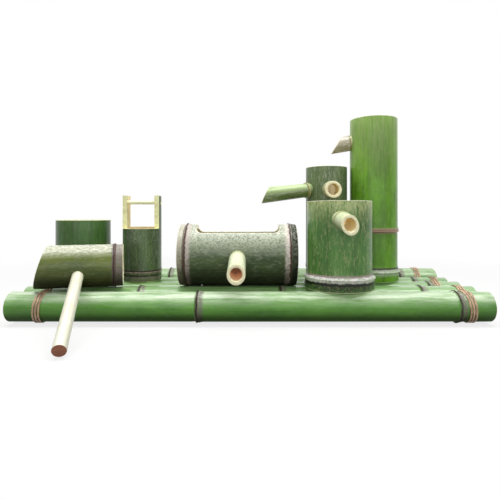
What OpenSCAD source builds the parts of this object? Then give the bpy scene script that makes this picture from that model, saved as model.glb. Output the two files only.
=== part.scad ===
// Bamboo fountain: a raft of lashed poles that carries three standing culms, a trough drum,
// a bucket, a ladle and a cup. Water rises in the tall culm and steps down from spout to spout.
// Origin: on the ground under the middle of the raft. +X to the right, +Y to the back, +Z up.

/* [Raft] */
// Length of every pole
raft_length = 730; // [700:5:800]
// Outer diameter of the four front poles
pole_d = 45.5; // [44:0.5:50]
// Outer diameter of the back pole
back_pole_d = 56; // [50:0.5:58]
// Wall of a pole
pole_wall = 5; // [3.5:0.5:7]
// How far a node ridge of a pole stands proud
pole_ridge = 2.3; // [2.1:0.1:3]

/* [Lashing] */
// Width of a rattan strip
strip_w = 3.6; // [2.5:0.1:4]
// Thickness of a rattan strip
strip_t = 1.6; // [1:0.1:1.8]
// Distance from one strip to the next, middle to middle
strip_step = 4.2; // [4.1:0.1:5]
// Circuits of each lashing round all the poles
strip_turns = 3; // [2:1:3]
// Where the left lashing begins, left of the middle
lash_left = 306; // [300:1:310]
// Where the right lashing begins, right of the middle
lash_right = 320; // [319:1:330]

/* [Tall culm] */
// Outer diameter above its first node
tall_d = 84; // [78:1:88]
// Wall
tall_wall = 7; // [5:0.5:9]
// Height above the raft
tall_h = 290; // [280:5:340]
// Gap between it and the medium culm
culm_gap = 0.5; // [0.3:0.1:2]
// Place behind the middle
tall_y = 30; // [26:1:34]
// Height of the lower node
tall_node_low = 17; // [12:1:25]
// Height of the upper node
tall_node_high = 89; // [80:1:95]
// Height of the spout
tall_spout_h = 249; // [245:1:255]

/* [Medium culm] */
// Outer diameter
medium_d = 75; // [70:1:77]
// Wall
medium_wall = 6.5; // [5:0.5:8]
// Height above the raft
medium_h = 204; // [195:1:210]
// How far it stands left of the front culm
medium_left = 3.5; // [0:0.5:10]
// Height of both of its spouts
medium_spout_h = 162; // [160:1:172]

/* [Front culm] */
// Outer diameter at the mouth
front_d = 104; // [98:1:106]
// Wall
front_wall = 7; // [5:0.5:9]
// How much wider the base is, on the radius
front_flare = 3.5; // [0:0.5:4]
// Height above the raft
front_h = 139; // [125:1:141]
// Gap between the drum and its foot
front_gap = 12; // [5:0.5:20]
// Place in front of the middle
front_y = 57; // [56.5:0.5:60]
// Height of the node
front_node = 19; // [15:1:25]
// Height of the spout
front_spout_h = 109; // [95:1:115]

/* [Drum] */
// Outer diameter
drum_d = 103; // [95:1:106]
// Wall
drum_wall = 7; // [5:0.5:9]
// Length
drum_l = 194; // [180:1:200]
// Place of its middle, left of the raft's middle
drum_x = 20; // [15:1:25]
// Distance from each end to the node beside it
drum_skirt = 12; // [9:0.5:16]
// Length of the mouth cut in its top
mouth_l = 139; // [120:1:145]
// Depth of the mouth cut
mouth_depth = 14; // [10:0.5:20]

/* [Spouts] */
// Outer diameter of the tall culm's spout
tall_spout_d = 28.5; // [24:0.5:30]
// Outer diameter of the medium culm's side spout at its root
side_spout_d = 24.5; // [20:0.5:26]
// How much wider the side spout is at its lip
side_spout_taper = 3; // [0:0.5:4]
// Outer diameter of the medium culm's front spout
pour_spout_d = 29; // [24:0.5:30]
// Outer diameter of the front culm's spout
front_spout_d = 27.5; // [24:0.5:30]
// Outer diameter of the drum's spout
drum_spout_d = 27; // [24:0.5:30]
// Wall of a spout
spout_wall = 4.5; // [3:0.5:6]
// Slant of the cut on the tall culm's spout and the side spout
beak_cut = 40; // [20:1:42]
// Slant of the cut on the front culm's and the drum's spouts
blunt_cut = 27; // [10:1:35]
// Slant of the cut on the spout over the front culm
pour_cut = 12; // [0:1:20]
// Length of the tall culm's spout outside its wall
tall_spout_l = 37; // [33:1:45]
// Length of the side spout outside its wall
side_spout_l = 98; // [85:1:105]
// Length of the front-facing spout of the medium culm outside its wall
pour_spout_l = 22; // [18:1:30]
// Length of the front culm's spout outside its wall
front_spout_l = 36; // [30:1:50]
// Length of the drum's spout outside its wall
drum_spout_l = 70; // [60:1:80]

/* [Bucket] */
// Outer diameter
bucket_d = 69; // [64:1:72]
// Wall
bucket_wall = 8; // [6:0.5:9]
// Gap between the cup and the bucket
cup_gap = 26.5; // [15:0.5:30]
// Height of the rim above the raft
bucket_rim = 94; // [80:1:100]
// Height of the ears above the raft
bucket_ear_h = 152; // [140:1:160]
// Width of an ear from front to back
bucket_ear_w = 20; // [16:1:26]
// Height of the crossbar above the raft
crossbar_h = 140; // [125:1:142]
// Diameter of the crossbar
crossbar_d = 7.5; // [5:0.5:9]

/* [Ladle] */
// Outer diameter of the cup
ladle_d = 67.5; // [64:0.5:70]
// Wall of the cup
ladle_wall = 5; // [4:0.5:7]
// Length of the cup along its long side
ladle_l = 132; // [120:1:135]
// Closed end of the cup, left of the bucket's middle
ladle_left = 11; // [5:1:20]
// Turn of the cup away from the poles
ladle_turn = 15.5; // [10:0.5:20]
// Slant of the cup's mouth
ladle_slant = 15.5; // [0:0.5:18]
// Diameter of the handle
handle_d = 17; // [14:0.5:18]
// Length of the handle outside the cup
handle_l = 172.5; // [150:1:190]

/* [Cup] */
// Outer diameter
cup_d = 94; // [84:1:98]
// Wall
cup_wall = 5; // [4:0.5:6]
// Height above the raft
cup_h = 108; // [90:1:115]
// How far it stands right of the left lashing's first strip
cup_right = 2; // [0:0.5:6]

/* [Water inlet] */
// Height of the inlet above the raft
inlet_h = 109; // [107:1:140]
// Outer diameter of the hose spigot
spigot_d = 12; // [10:0.5:14]
// Length of the hose spigot
spigot_l = 18; // [14:1:26]
// Bore of the fitting
inlet_bore = 8; // [5:0.5:8]
// Height of the top of the riser hose above the raft
riser_top = 240; // [200:1:245]

/* [Screws and fits] */
// Shank diameter of a screw
screw_d = 4; // [3:0.5:4.5]
// Head diameter of a screw
screw_head_d = 8; // [7:0.5:9]
// Depth that a screw bites into a vessel
screw_bite = 14; // [8:1:18]
// Gap between a vessel and what it stands on
seat_gap = 0.2; // [0.15:0.05:0.3]
// Radial clearance of a push fit
push_fit = 0.05; // [0.02:0.01:0.1]

/* [Hidden] */
$fn = 96;

// Poles: centres across the raft, radii and the places of their nodes along X
strip_clear = 0.4;
gap_slack = 0.1;
lash_gap = strip_t + 2 * strip_clear + gap_slack;
pole_r = pole_d / 2;
pole_step = pole_d + lash_gap;
poles = 5;
back = poles - 1;
function radius_of(i) = i == back ? back_pole_d / 2 : pole_r;
function pole_z(i) = radius_of(i) + pole_ridge;
back_rise = pole_z(back) - pole_z(0);
back_reach = pole_r + back_pole_d / 2 + lash_gap;
raft_back = 2;
front_pole_y = raft_back - 2 * pole_step;
function pole_y(i) = i < back ? front_pole_y + i * pole_step
    : front_pole_y + (back - 1) * pole_step + sqrt(back_reach * back_reach - back_rise * back_rise);
// Nodes of each pole along X, and how far its last one lies before the right lashing
pole_nodes = [[-80], [-180, 49], [-84, 96], [-118, 70], [-158, 84]];
last_node_gap = [7, 42, 10, 18, 28];
ridge_half = 3.5;
septum = 4;
drain_d = 5;
drain_from_node = 20;
deck = 2 * pole_r + pole_ridge + seat_gap;

// Ridge of a node on a vessel
vessel_ridge = 2.3;
tall_ridge = 3;
low_ridge = 1;
front_ridge = 1.5;
tall_foot_extra = 2;
tall_foot_d = tall_d + 2 * tall_foot_extra;
foot_cone = 8;

// Front culm stands beside the drum, the medium culm behind it and the tall culm beside that
front_cy = -front_y;
front_foot_d = front_d + 2 * front_flare;
front_x = drum_l / 2 - drum_x + front_gap + front_foot_d / 2;
medium_x = front_x - medium_left;
medium_y = front_cy + sqrt(pow((front_foot_d + medium_d) / 2 + front_ridge + culm_gap, 2)
    - medium_left * medium_left);
tall_x = medium_x + sqrt(pow((tall_foot_d + medium_d) / 2 + tall_ridge + culm_gap, 2)
    - pow(medium_y - tall_y, 2));

// Drum lies on its own node ridges in the groove between the second and third poles
drum_cx = -drum_x;
drum_cy = (pole_y(1) + pole_y(2)) / 2;
drum_cz = pole_z(0) + sqrt(pow(drum_d / 2 + vessel_ridge + pole_r + seat_gap, 2)
    - pow(pole_step / 2, 2));

// Ladle lies across the first two poles, on the left lashing and on its own node ridge
ladle_ridge = strip_clear + strip_t;
ladle_forward = 4;
cup_x = lash_left - cup_right;
bucket_x = cup_x - (cup_d + bucket_d) / 2 - cup_gap;
ladle_x = bucket_x + ladle_left;
ladle_cy = pole_y(1) - ladle_forward;
ladle_cz = 2 * pole_r + pole_ridge + ladle_ridge + seat_gap + ladle_d / 2;
ladle_skirt = 13;

// Bucket and cup stand across the groove of the third and fourth poles
bucket_cy = (pole_y(2) + pole_y(3)) / 2;
cup_back = 4;
cup_cy = bucket_cy + cup_back;
bucket_node = 17;
cup_node = 16;
medium_node = 24;
rim_slant = 2.5;

// Spouts: where each axis meets its vessel's wall, its heading and its droop
spout_inside = 3;
tall_spout_az = atan2(medium_y - tall_y, medium_x - tall_x);
tall_spout_droop = 9;
stream_right = 37;
stream_back = 10;
side_spout_az = atan2(drum_cy + stream_back - medium_y, drum_cx + stream_right - medium_x);
side_spout_droop = 7;
side_spout_roll = 40;
pour_spout_az = atan2(front_cy - medium_y, front_x - medium_x);
pour_spout_droop = 3;
front_spout_az = -79;
front_spout_droop = 13;
front_spout_left = 6.5;
drum_spout_drop = 3.5;
drum_spout_droop = 14;
side_collar_d = side_spout_d + 4;
side_collar_l = 7;
side_collar_from = 2.5;

function on_wall(cx, cy, r, az, z) = [cx + r * cos(az), cy + r * sin(az), z];
tall_root = on_wall(tall_x, tall_y, tall_d / 2, tall_spout_az, deck + tall_spout_h);
side_root = on_wall(medium_x, medium_y, medium_d / 2, side_spout_az, deck + medium_spout_h);
pour_root = on_wall(medium_x, medium_y, medium_d / 2, pour_spout_az, deck + medium_spout_h);
front_root = [front_x - front_spout_left,
    front_cy - sqrt(pow(front_d / 2, 2) - pow(front_spout_left, 2)), deck + front_spout_h];
drum_root = [drum_cx, drum_cy - sqrt(pow(drum_d / 2, 2) - pow(drum_spout_drop, 2)),
    drum_cz - drum_spout_drop];

// Ladle handle: square to the cup's axis, from its far wall down to the ground in front
handle_along = 66;
handle_reach = ladle_d / 2 + handle_l;
handle_droop = asin((ladle_cz - handle_d / 2 - seat_gap) / handle_reach);
handle_inside = sqrt(pow(ladle_d / 2 - ladle_wall, 2) - pow(handle_d / 2, 2)) - seat_gap;

// Screws: [x, pole, tilt, bite] for each vessel that is screwed to the raft
function ring_x(cx, cy, r, i, side) = cx + side * sqrt(r * r - pow(pole_y(i) - cy, 2));
function drum_tilt(i) = atan2(drum_cy - pole_y(i), drum_cz - pole_z(i));
drum_bite = drum_wall + vessel_ridge - 1;
drum_screw_x = 60;
tall_screws = [
    [ring_x(tall_x, tall_y, (tall_foot_d - tall_wall) / 2, 2, 1), 2, 0, screw_bite],
    [ring_x(tall_x, tall_y, (tall_foot_d - tall_wall) / 2, 3, -1), 3, 0, screw_bite]];
medium_screws = [
    [ring_x(medium_x, medium_y, (medium_d - medium_wall) / 2, 3, -1), 3, 0, screw_bite],
    [ring_x(medium_x, medium_y, (medium_d - medium_wall) / 2, 3, 1), 3, 0, screw_bite]];
front_screws = [
    [ring_x(front_x, front_cy, (front_foot_d - front_wall) / 2, 0, -1), 0, 0, screw_bite],
    [ring_x(front_x, front_cy, (front_foot_d - front_wall) / 2, 1, 1), 1, 0, screw_bite]];
drum_screws = [[drum_cx - drum_screw_x, 1, drum_tilt(1), drum_bite],
    [drum_cx + drum_screw_x, 2, drum_tilt(2), drum_bite]];
all_screws = concat(tall_screws, medium_screws, front_screws, drum_screws);
screw_head_h = 3;
screw_tip_room = 0.5;
driver_way = 1;

// Inlet: the fitting passes the back wall of the tall culm and turns up into the riser hose
inlet_z = deck + inlet_h;
inlet_wall_y = tall_y + tall_d / 2;
riser_wall = 2;
riser_from_wall = 13;
riser_y = inlet_wall_y - tall_wall - riser_from_wall;
elbow_up = 18;
nipple_wall = 1.5;
grommet_wall = 2.4;
grommet_lip = 2.5;
flange_h = 2.5;

// Lashing route: the angles at which a strip leaves one pole for the next
strip_r_extra = strip_clear + strip_t / 2;
function wrap_r(i) = radius_of(i) + strip_r_extra;
function span(i) = norm([pole_y(i + 1) - pole_y(i), pole_z(i + 1) - pole_z(i)]);
function lean(i) = atan2(pole_z(i + 1) - pole_z(i), pole_y(i + 1) - pole_y(i));
function open_angle(i) = acos((wrap_r(i) + wrap_r(i + 1)) / span(i));
function down_line(i) = lean(i) + open_angle(i);
function up_line(i) = lean(i) - open_angle(i);
return_step = (strip_turns + 1) * strip_step;

// One circuit as [pole, first angle, last angle, first place, last place along X]
function circuit(out_x, back_x, last_x) = [
    [0, up_line(0), down_line(0) - 360, last_x, out_x],
    [1, down_line(0) + 180, up_line(1) + 360, out_x, out_x],
    [2, up_line(1) + 180, down_line(2), out_x, out_x],
    [3, down_line(2) + 180, up_line(3) + 360, out_x, out_x],
    [4, up_line(3) + 180, down_line(3) - 180, out_x, back_x],
    [3, down_line(3), up_line(2) + 180, back_x, back_x],
    [2, up_line(2), down_line(1) - 180, back_x, back_x],
    [1, down_line(1), up_line(0) + 180, back_x, back_x]];

// A ring is [x, y, z, angle of the strip's flat side]
wrap_step = 17;
function ring_at(i, angle, x, turned) = [x, pole_y(i) + wrap_r(i) * cos(angle),
    pole_z(i) + wrap_r(i) * sin(angle), angle + (turned ? 180 : 0)];
function arc_rings(arc) = let(count = round(abs(arc[2] - arc[1]) / wrap_step))
    [for (j = [0:count]) ring_at(arc[0], arc[1] + (arc[2] - arc[1]) * j / count,
        arc[3] + (arc[4] - arc[3]) * j / count, arc[2] > arc[1])];
function route(start, side) = concat(
    [ring_at(1, up_line(0) + 180, start + side * (return_step - strip_step), true)],
    [for (k = [0:strip_turns - 1])
        let(out_x = start + side * k * strip_step, back_x = out_x + side * return_step)
        for (arc = circuit(out_x, back_x, back_x - side * strip_step))
            for (ring = arc_rings(arc)) ring],
    [ring_at(0, up_line(0), start + side * (return_step + (strip_turns - 1) * strip_step), false)]);

// Least gap of a strip to itself, over rings that lie on different turns
function strip_gap(a, b) = norm([max(0, abs(a[0] - b[0]) - strip_w),
    max(0, norm([a[1] - b[1], a[2] - b[2]]) - strip_t)]);
ring_skip = 7;
function least_gap(rings) = min([for (i = [0:len(rings) - 1 - ring_skip])
    for (j = [i + ring_skip:len(rings) - 1]) strip_gap(rings[i], rings[j])]);

strip_sides = 6;
function section(j) = [[1, 0], [0.55, 1], [-0.55, 1], [-1, 0], [-0.55, -1], [0.55, -1]][j];

module strip(rings) {
    count = len(rings);
    points = [for (ring = rings) for (j = [0:strip_sides - 1])
        let(across = section(j)[0] * strip_w / 2, up = section(j)[1] * strip_t / 2)
        [ring[0] + across, ring[1] + up * cos(ring[3]), ring[2] + up * sin(ring[3])]];
    sides = [for (i = [0:count - 2]) for (j = [0:strip_sides - 1])
        let(a = i * strip_sides + j, b = i * strip_sides + (j + 1) % strip_sides)
        for (face = [[a, b, b + strip_sides], [a, b + strip_sides, a + strip_sides]]) face];
    last = (count - 1) * strip_sides;
    ends = [for (j = [1:strip_sides - 2])
        for (face = [[0, j + 1, j], [last, last + j, last + j + 1]]) face];
    polyhedron(points, concat(sides, ends), convexity = 10);
}

// Node ridge as the half profile of a rounded ring, at a place along the culm
module ridge_profile(r, at, proud, half) {
    polygon([[r - 1, at - half], [r, at - half], [r + 0.7 * proud, at - 0.55 * half],
        [r + proud, at - 0.2 * half], [r + proud, at + 0.2 * half],
        [r + 0.7 * proud, at + 0.55 * half], [r, at + half], [r - 1, at + half]]);
}

// Standing culm: open tube with one septum, and a ridge at each node
module culm(d, foot_d, wall, h, floor_at, ridges, proud) {
    r = d / 2;
    foot = foot_d / 2;
    foot_top = ridges[0];
    difference() {
        rotate_extrude() {
            polygon([[0, 0], [foot, 0], [foot, foot_top], [r, foot_top + foot_cone], [r, h], [0, h]]);
            for (at = ridges) ridge_profile(at <= foot_top ? foot : r, at, proud, ridge_half);
        }
        translate([0, 0, floor_at + septum / 2]) cylinder(r = r - wall, h = h);
        translate([0, 0, floor_at - septum / 2 - h]) cylinder(r = r - wall, h = h);
    }
}

// Places children with +X along a spout's axis, out of the wall and down
module aim(at, az, droop) {
    translate(at) rotate([0, droop, az]) children();
}

module rod(d, from, to) {
    translate([from, 0, 0]) rotate([0, 90, 0]) cylinder(d = d, h = to - from);
}

// Takes away all above a slanting cut, whose lower lip is the longer one; roll turns it back
module slant_cut(d, l, slant, roll = 0) {
    rotate([roll, 0, 0]) translate([l, 0, -d / 2]) rotate([0, -slant, 0])
        translate([0, -2 * d, -2 * d]) cube([4 * d, 4 * d, 6 * d]);
}

module spout(d, l, wall, slant) {
    difference() {
        rod(d, -wall - spout_inside, l);
        rod(d - 2 * spout_wall, -wall - spout_inside - 1, l + 1);
        slant_cut(d, l, slant);
    }
}

// The hole that a spout is pushed into
module spout_hole(d, wall) {
    rod(d + 2 * push_fit, -d, wall);
}

// Places children at a pole's axis with +Z towards the vessel that a screw holds
module at_screw(s) {
    translate([s[0], pole_y(s[1]), pole_z(s[1])]) rotate([-s[2], 0, 0]) children();
}

function screw_seat(s) = sqrt(pow(radius_of(s[1]) - pole_wall, 2) - pow(screw_head_d / 2, 2));

module screw(s) {
    at_screw(s) translate([0, 0, screw_seat(s)]) {
        translate([0, 0, -screw_head_h]) cylinder(d = screw_head_d, h = screw_head_h);
        cylinder(d = screw_d, h = pole_r - screw_seat(s) + seat_gap + s[3]);
    }
}

module screw_holes(list) {
    for (s = list) at_screw(s)
        cylinder(d = screw_d + 2 * push_fit, h = pole_r + seat_gap + s[3] + screw_tip_room);
}

module driver_holes(list) {
    for (s = list) at_screw(s) rotate([180, 0, 0])
        cylinder(d = screw_head_d + 2 * driver_way, h = pole_r + pole_ridge + 1);
}

// Pole: tube with ridges and septa at its nodes, and a drain under each closed length
module pole(i) {
    r = radius_of(i);
    nodes = concat(pole_nodes[i], lash_right - last_node_gap[i]);
    ends = concat([-raft_length / 2 - septum], nodes, [raft_length / 2 + septum]);
    translate([0, pole_y(i), pole_z(i)]) difference() {
        rotate([0, 90, 0]) rotate_extrude() {
            translate([0, -raft_length / 2]) square([r, raft_length]);
            for (at = nodes) ridge_profile(r, at, pole_ridge, ridge_half);
        }
        for (k = [0:len(ends) - 2])
            rod(2 * (r - pole_wall), ends[k] + septum / 2, ends[k + 1] - septum / 2);
        for (k = [0:len(nodes) - 2]) translate([nodes[k] + drain_from_node, 0, -r - 1])
            cylinder(d = drain_d, h = r);
    }
}

module drilled_pole(i) {
    here = [for (s = all_screws) if (s[1] == i) s];
    difference() {
        pole(i);
        screw_holes(here);
        driver_holes(here);
    }
}

module raft_pole_1() {
    color("forestgreen") drilled_pole(0);
}

module raft_pole_2() {
    color("limegreen") drilled_pole(1);
}

module raft_pole_3() {
    color("forestgreen") drilled_pole(2);
}

module raft_pole_4() {
    color("limegreen") drilled_pole(3);
}

module raft_pole_5() {
    color("seagreen") drilled_pole(4);
}

module lashing_left() {
    rings = route(-lash_left, -1);
    echo(lashing_left_least_gap = least_gap(rings), rings = len(rings));
    color("saddlebrown") strip(rings);
}

module lashing_right() {
    rings = route(lash_right, 1);
    echo(lashing_right_least_gap = least_gap(rings), rings = len(rings));
    color("saddlebrown") strip(rings);
}

module tall_culm() {
    color("yellowgreen") difference() {
        translate([tall_x, tall_y, deck]) culm(tall_d, tall_foot_d, tall_wall, tall_h,
            tall_node_high, [tall_node_low, tall_node_high], tall_ridge);
        aim(tall_root, tall_spout_az, tall_spout_droop) spout_hole(tall_spout_d, tall_wall);
        translate([tall_x, inlet_wall_y, inlet_z])
            rotate([90, 0, 0]) cylinder(d = spigot_d + 2 * grommet_wall, h = 2 * tall_wall);
        screw_holes(tall_screws);
    }
}

module tall_spout() {
    color("wheat") aim(tall_root, tall_spout_az, tall_spout_droop)
        spout(tall_spout_d, tall_spout_l, tall_wall, beak_cut);
}

// Turned about the inlet's axis: +Z of the profile points out of the back wall
module about_inlet() {
    translate([tall_x, inlet_wall_y, inlet_z]) rotate([-90, 0, 0]) rotate_extrude() children();
}

module hose_inlet() {
    flange_from = grommet_lip + seat_gap + 0.1;
    color("dimgray") difference() {
        union() {
            about_inlet() {
                translate([0, riser_y - inlet_wall_y])
                    square([spigot_d / 2, inlet_wall_y - riser_y + flange_from + flange_h + spigot_l]);
                translate([0, flange_from]) square([spigot_d / 2 + 4, flange_h]);
            }
            translate([tall_x, riser_y, inlet_z]) {
                sphere(d = spigot_d);
                cylinder(d = spigot_d, h = spigot_d / 2 + 1);
                cylinder(d = inlet_bore - 2 * push_fit, h = elbow_up + spigot_d / 2);
            }
        }
        translate([tall_x, riser_y, inlet_z]) {
            rotate([-90, 0, 0]) cylinder(d = inlet_bore, h = riser_from_wall + 3 * spigot_l);
            cylinder(d = inlet_bore - 2 * nipple_wall, h = 2 * elbow_up);
        }
    }
}

module inlet_grommet() {
    inner = spigot_d / 2 + push_fit;
    outer = spigot_d / 2 + grommet_wall - push_fit;
    lip = outer + 2.5;
    wall_dip = tall_d / 2 - tall_wall - sqrt(pow(tall_d / 2 - tall_wall, 2) - lip * lip);
    deep = -tall_wall - wall_dip - 0.1;
    color("black") about_inlet() {
        translate([inner, deep - grommet_lip])
            square([outer - inner, seat_gap + 2 * grommet_lip - deep]);
        for (from = [seat_gap, deep - grommet_lip])
            translate([inner, from]) square([lip - inner, grommet_lip]);
    }
}

module riser_hose() {
    from = inlet_z + spigot_d / 2 + 1 + seat_gap;
    color("lightgray") translate([tall_x, riser_y, from]) difference() {
        cylinder(d = inlet_bore + 2 * riser_wall, h = deck + riser_top - from);
        translate([0, 0, -1]) cylinder(d = inlet_bore, h = deck + riser_top);
    }
}

module medium_culm() {
    color("darkolivegreen") difference() {
        translate([medium_x, medium_y, deck])
            culm(medium_d, medium_d, medium_wall, medium_h, medium_node, [medium_node], low_ridge);
        aim(side_root, side_spout_az, side_spout_droop) spout_hole(side_spout_d, medium_wall);
        aim(pour_root, pour_spout_az, pour_spout_droop) spout_hole(pour_spout_d, medium_wall);
        screw_holes(medium_screws);
    }
}

// The side spout has its own node beside the wall and widens towards its lip
module medium_side_spout() {
    lip_d = side_spout_d + side_spout_taper;
    color("yellowgreen") aim(side_root, side_spout_az, side_spout_droop) difference() {
        union() {
            rod(side_spout_d, -medium_wall - spout_inside, side_collar_l);
            rod(side_collar_d, side_collar_from, side_collar_l);
            translate([side_collar_l, 0, 0]) rotate([0, 90, 0])
                cylinder(d1 = side_spout_d, d2 = lip_d, h = side_spout_l - side_collar_l);
        }
        rod(side_spout_d - 2 * spout_wall, -medium_wall - spout_inside - 1, side_spout_l + 1);
        slant_cut(lip_d, side_spout_l, beak_cut, side_spout_roll);
    }
}

module medium_front_spout() {
    color("wheat") aim(pour_root, pour_spout_az, pour_spout_droop)
        spout(pour_spout_d, pour_spout_l, medium_wall, pour_cut);
}

module front_culm() {
    color("green") difference() {
        translate([front_x, front_cy, deck]) culm(front_d, front_foot_d, front_wall, front_h,
            front_node, [front_node], front_ridge);
        aim(front_root, front_spout_az, front_spout_droop)
            spout_hole(front_spout_d, front_wall);
        screw_holes(front_screws);
    }
}

module front_spout() {
    color("palegoldenrod") aim(front_root, front_spout_az, front_spout_droop)
        spout(front_spout_d, front_spout_l, front_wall, blunt_cut);
}

// Drum: a culm on its side, shut by the septum at each end, with its top cut open
module drum() {
    r = drum_d / 2;
    half = drum_l / 2;
    node_at = half - drum_skirt;
    color("darkgreen") difference() {
        translate([drum_cx, drum_cy, drum_cz]) difference() {
            rotate([0, 90, 0]) rotate_extrude() {
                translate([0, -half]) square([r, drum_l]);
                for (side = [-1, 1]) ridge_profile(r, side * node_at, vessel_ridge, ridge_half);
            }
            rod(2 * (r - drum_wall), -node_at + septum / 2, node_at - septum / 2);
            for (side = [-1, 1]) translate([side * (node_at + septum / 2 + half), 0, 0])
                rod(2 * (r - drum_wall), -half, half);
            translate([-mouth_l / 2, -r, r - mouth_depth]) cube([mouth_l, 2 * r, r]);
        }
        aim(drum_root, -90, drum_spout_droop) spout_hole(drum_spout_d, drum_wall);
        screw_holes(drum_screws);
    }
}

module drum_spout() {
    color("palegoldenrod") aim(drum_root, -90, drum_spout_droop)
        spout(drum_spout_d, drum_spout_l, drum_wall, blunt_cut);
}

// Bucket: a culm whose wall is cut down between two ears
module bucket() {
    color("darkolivegreen") translate([-bucket_x, bucket_cy, deck]) difference() {
        culm(bucket_d, bucket_d, bucket_wall, bucket_ear_h, bucket_node, [bucket_node], low_ridge);
        for (side = [-1, 1]) translate([0, side * (bucket_ear_w + bucket_d) / 2, 0])
            translate([0, 0, bucket_rim + side * rim_slant / 2 + bucket_ear_h / 2])
            cube([2 * bucket_d, bucket_d, bucket_ear_h], center = true);
        translate([0, 0, crossbar_h]) rod(crossbar_d + 2 * push_fit, -bucket_d, bucket_d);
    }
}

module bucket_crossbar() {
    half = bucket_d / 2 - 1.5;
    color("khaki") translate([-bucket_x, bucket_cy, deck + crossbar_h])
        rod(crossbar_d, -half, half);
}

// Places children in the ladle's frame: its closed end at zero, its mouth towards -X
module at_ladle() {
    translate([-ladle_x, ladle_cy, ladle_cz]) rotate([0, 0, ladle_turn]) children();
}

module ladle_cup() {
    r = ladle_d / 2;
    inner_d = ladle_d - 2 * ladle_wall;
    color("olivedrab") at_ladle() difference() {
        rotate([0, -90, 0]) rotate_extrude() {
            square([r, ladle_l]);
            ridge_profile(r, ladle_skirt, ladle_ridge, ridge_half);
        }
        rod(inner_d, -ladle_l - 1, -ladle_skirt - septum / 2);
        rod(inner_d, -ladle_skirt + septum / 2, 1);
        translate([-ladle_l, 0, -r]) rotate([0, ladle_slant, 0])
            translate([-ladle_d, -ladle_d, -ladle_d]) cube([ladle_d, 2 * ladle_d, 3 * ladle_d]);
        aim([-handle_along, 0, 0], -90, handle_droop)
            rod(handle_d + 2 * push_fit, 0, ladle_d);
    }
}

module ladle_handle() {
    color("cornsilk") at_ladle() aim([-handle_along, 0, 0], -90, handle_droop)
        rod(handle_d, -handle_inside, handle_reach);
}

module cup() {
    color("darkgreen") translate([-cup_x, cup_cy, deck])
        culm(cup_d, cup_d, cup_wall, cup_h, cup_node, [cup_node], low_ridge);
}

module hold_down_screws() {
    color("silver") for (s = all_screws) screw(s);
}

raft_pole_1();
raft_pole_2();
raft_pole_3();
raft_pole_4();
raft_pole_5();
lashing_left();
lashing_right();
tall_culm();
tall_spout();
hose_inlet();
inlet_grommet();
riser_hose();
medium_culm();
medium_side_spout();
medium_front_spout();
front_culm();
front_spout();
drum();
drum_spout();
bucket();
bucket_crossbar();
ladle_cup();
ladle_handle();
cup();
hold_down_screws();
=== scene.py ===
"""Dresses a bamboo fountain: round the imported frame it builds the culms, spouts, poles and
rattan with their skins, saw cuts and bores, finishes the water fittings and sets the stage."""
import math
from typing import NamedTuple

import bmesh
import bpy
from mathutils import Euler, Matrix, Vector, noise


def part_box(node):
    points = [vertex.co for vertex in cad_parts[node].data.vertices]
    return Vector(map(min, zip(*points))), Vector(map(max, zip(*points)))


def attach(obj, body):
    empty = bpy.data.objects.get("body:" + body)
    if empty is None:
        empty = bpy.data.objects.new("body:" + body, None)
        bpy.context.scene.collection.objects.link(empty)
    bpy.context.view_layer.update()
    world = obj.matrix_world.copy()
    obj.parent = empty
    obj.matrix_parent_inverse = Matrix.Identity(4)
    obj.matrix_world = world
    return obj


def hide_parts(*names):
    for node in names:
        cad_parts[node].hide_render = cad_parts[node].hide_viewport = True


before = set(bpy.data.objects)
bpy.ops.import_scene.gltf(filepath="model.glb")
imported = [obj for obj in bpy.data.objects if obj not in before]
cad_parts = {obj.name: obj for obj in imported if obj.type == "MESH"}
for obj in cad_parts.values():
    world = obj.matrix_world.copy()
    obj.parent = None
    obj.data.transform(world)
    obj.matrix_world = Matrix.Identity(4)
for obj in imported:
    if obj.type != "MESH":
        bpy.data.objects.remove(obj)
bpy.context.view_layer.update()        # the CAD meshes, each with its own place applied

bl_info = {
    "name": "Bamboo fountain",
    "version": (1, 0, 0),
    "blender": (4, 5, 0),
    "location": "3D View > Sidebar > Fountain",
    "description": "Builds the bamboo, rattan and fittings of a table fountain",
    "category": "Add Mesh",
}

MM = 0.001
SKIN, CUT, BORE = 0, 1, 2    # material slots of a bamboo piece
RIDGE_HALF = 3.5 * MM        # half the length of a node's ridge
SEPTUM = 4 * MM              # thickness of the wall inside a node
SAW_EASE = 0.6 * MM          # how much a saw cut's edges are eased
PAST = 2 * MM                # how far a shape reaches past the plane that cuts it off
PLAY = 0.05 * MM             # gap round a spout or a rod in its hole
SPACING = 20 * MM            # longest stretch of a skin without a ring of vertices
SMOOTH_BELOW = math.radians(34)
CUT_PALE, CUT_FIBRE = (0.90, 0.91, 0.66), (0.42, 0.32, 0.14)


# Sizes and colours that a user can change

def size(name, millimetres, text):
    return bpy.props.FloatProperty(name=name, description=text, default=millimetres * MM,
                                   min=0.0, unit="LENGTH", precision=4)


def turn(name, degrees, text):
    return bpy.props.FloatProperty(name=name, description=text, unit="ROTATION",
                                   default=math.radians(degrees))


def tint(name, rgb, text):
    return bpy.props.FloatVectorProperty(name=name, description=text, default=rgb, size=3,
                                         min=0.0, max=1.0, subtype="COLOR")


class RaftSettings(bpy.types.PropertyGroup):
    length: size("Length", 730, "Length of every pole")
    wall: size("Wall", 5, "Wall of a pole")
    ridge: size("Ridge", 2.3, "How far a node stands proud of a pole")
    fresh: tint("Fresh skin", (0.13, 0.36, 0.045), "Green of a pole's skin")
    deep: tint("Deep skin", (0.07, 0.23, 0.026), "Darker green in its blotches")
    # also the colour of the bloom and painted highlight on the poles' tops
    bloom: tint("Bloom", (0.66, 0.79, 0.56), "Waxy bloom that dulls the skin")
    scar: tint("Node scar", (0.05, 0.028, 0.026), "Dark line round a node")


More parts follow.
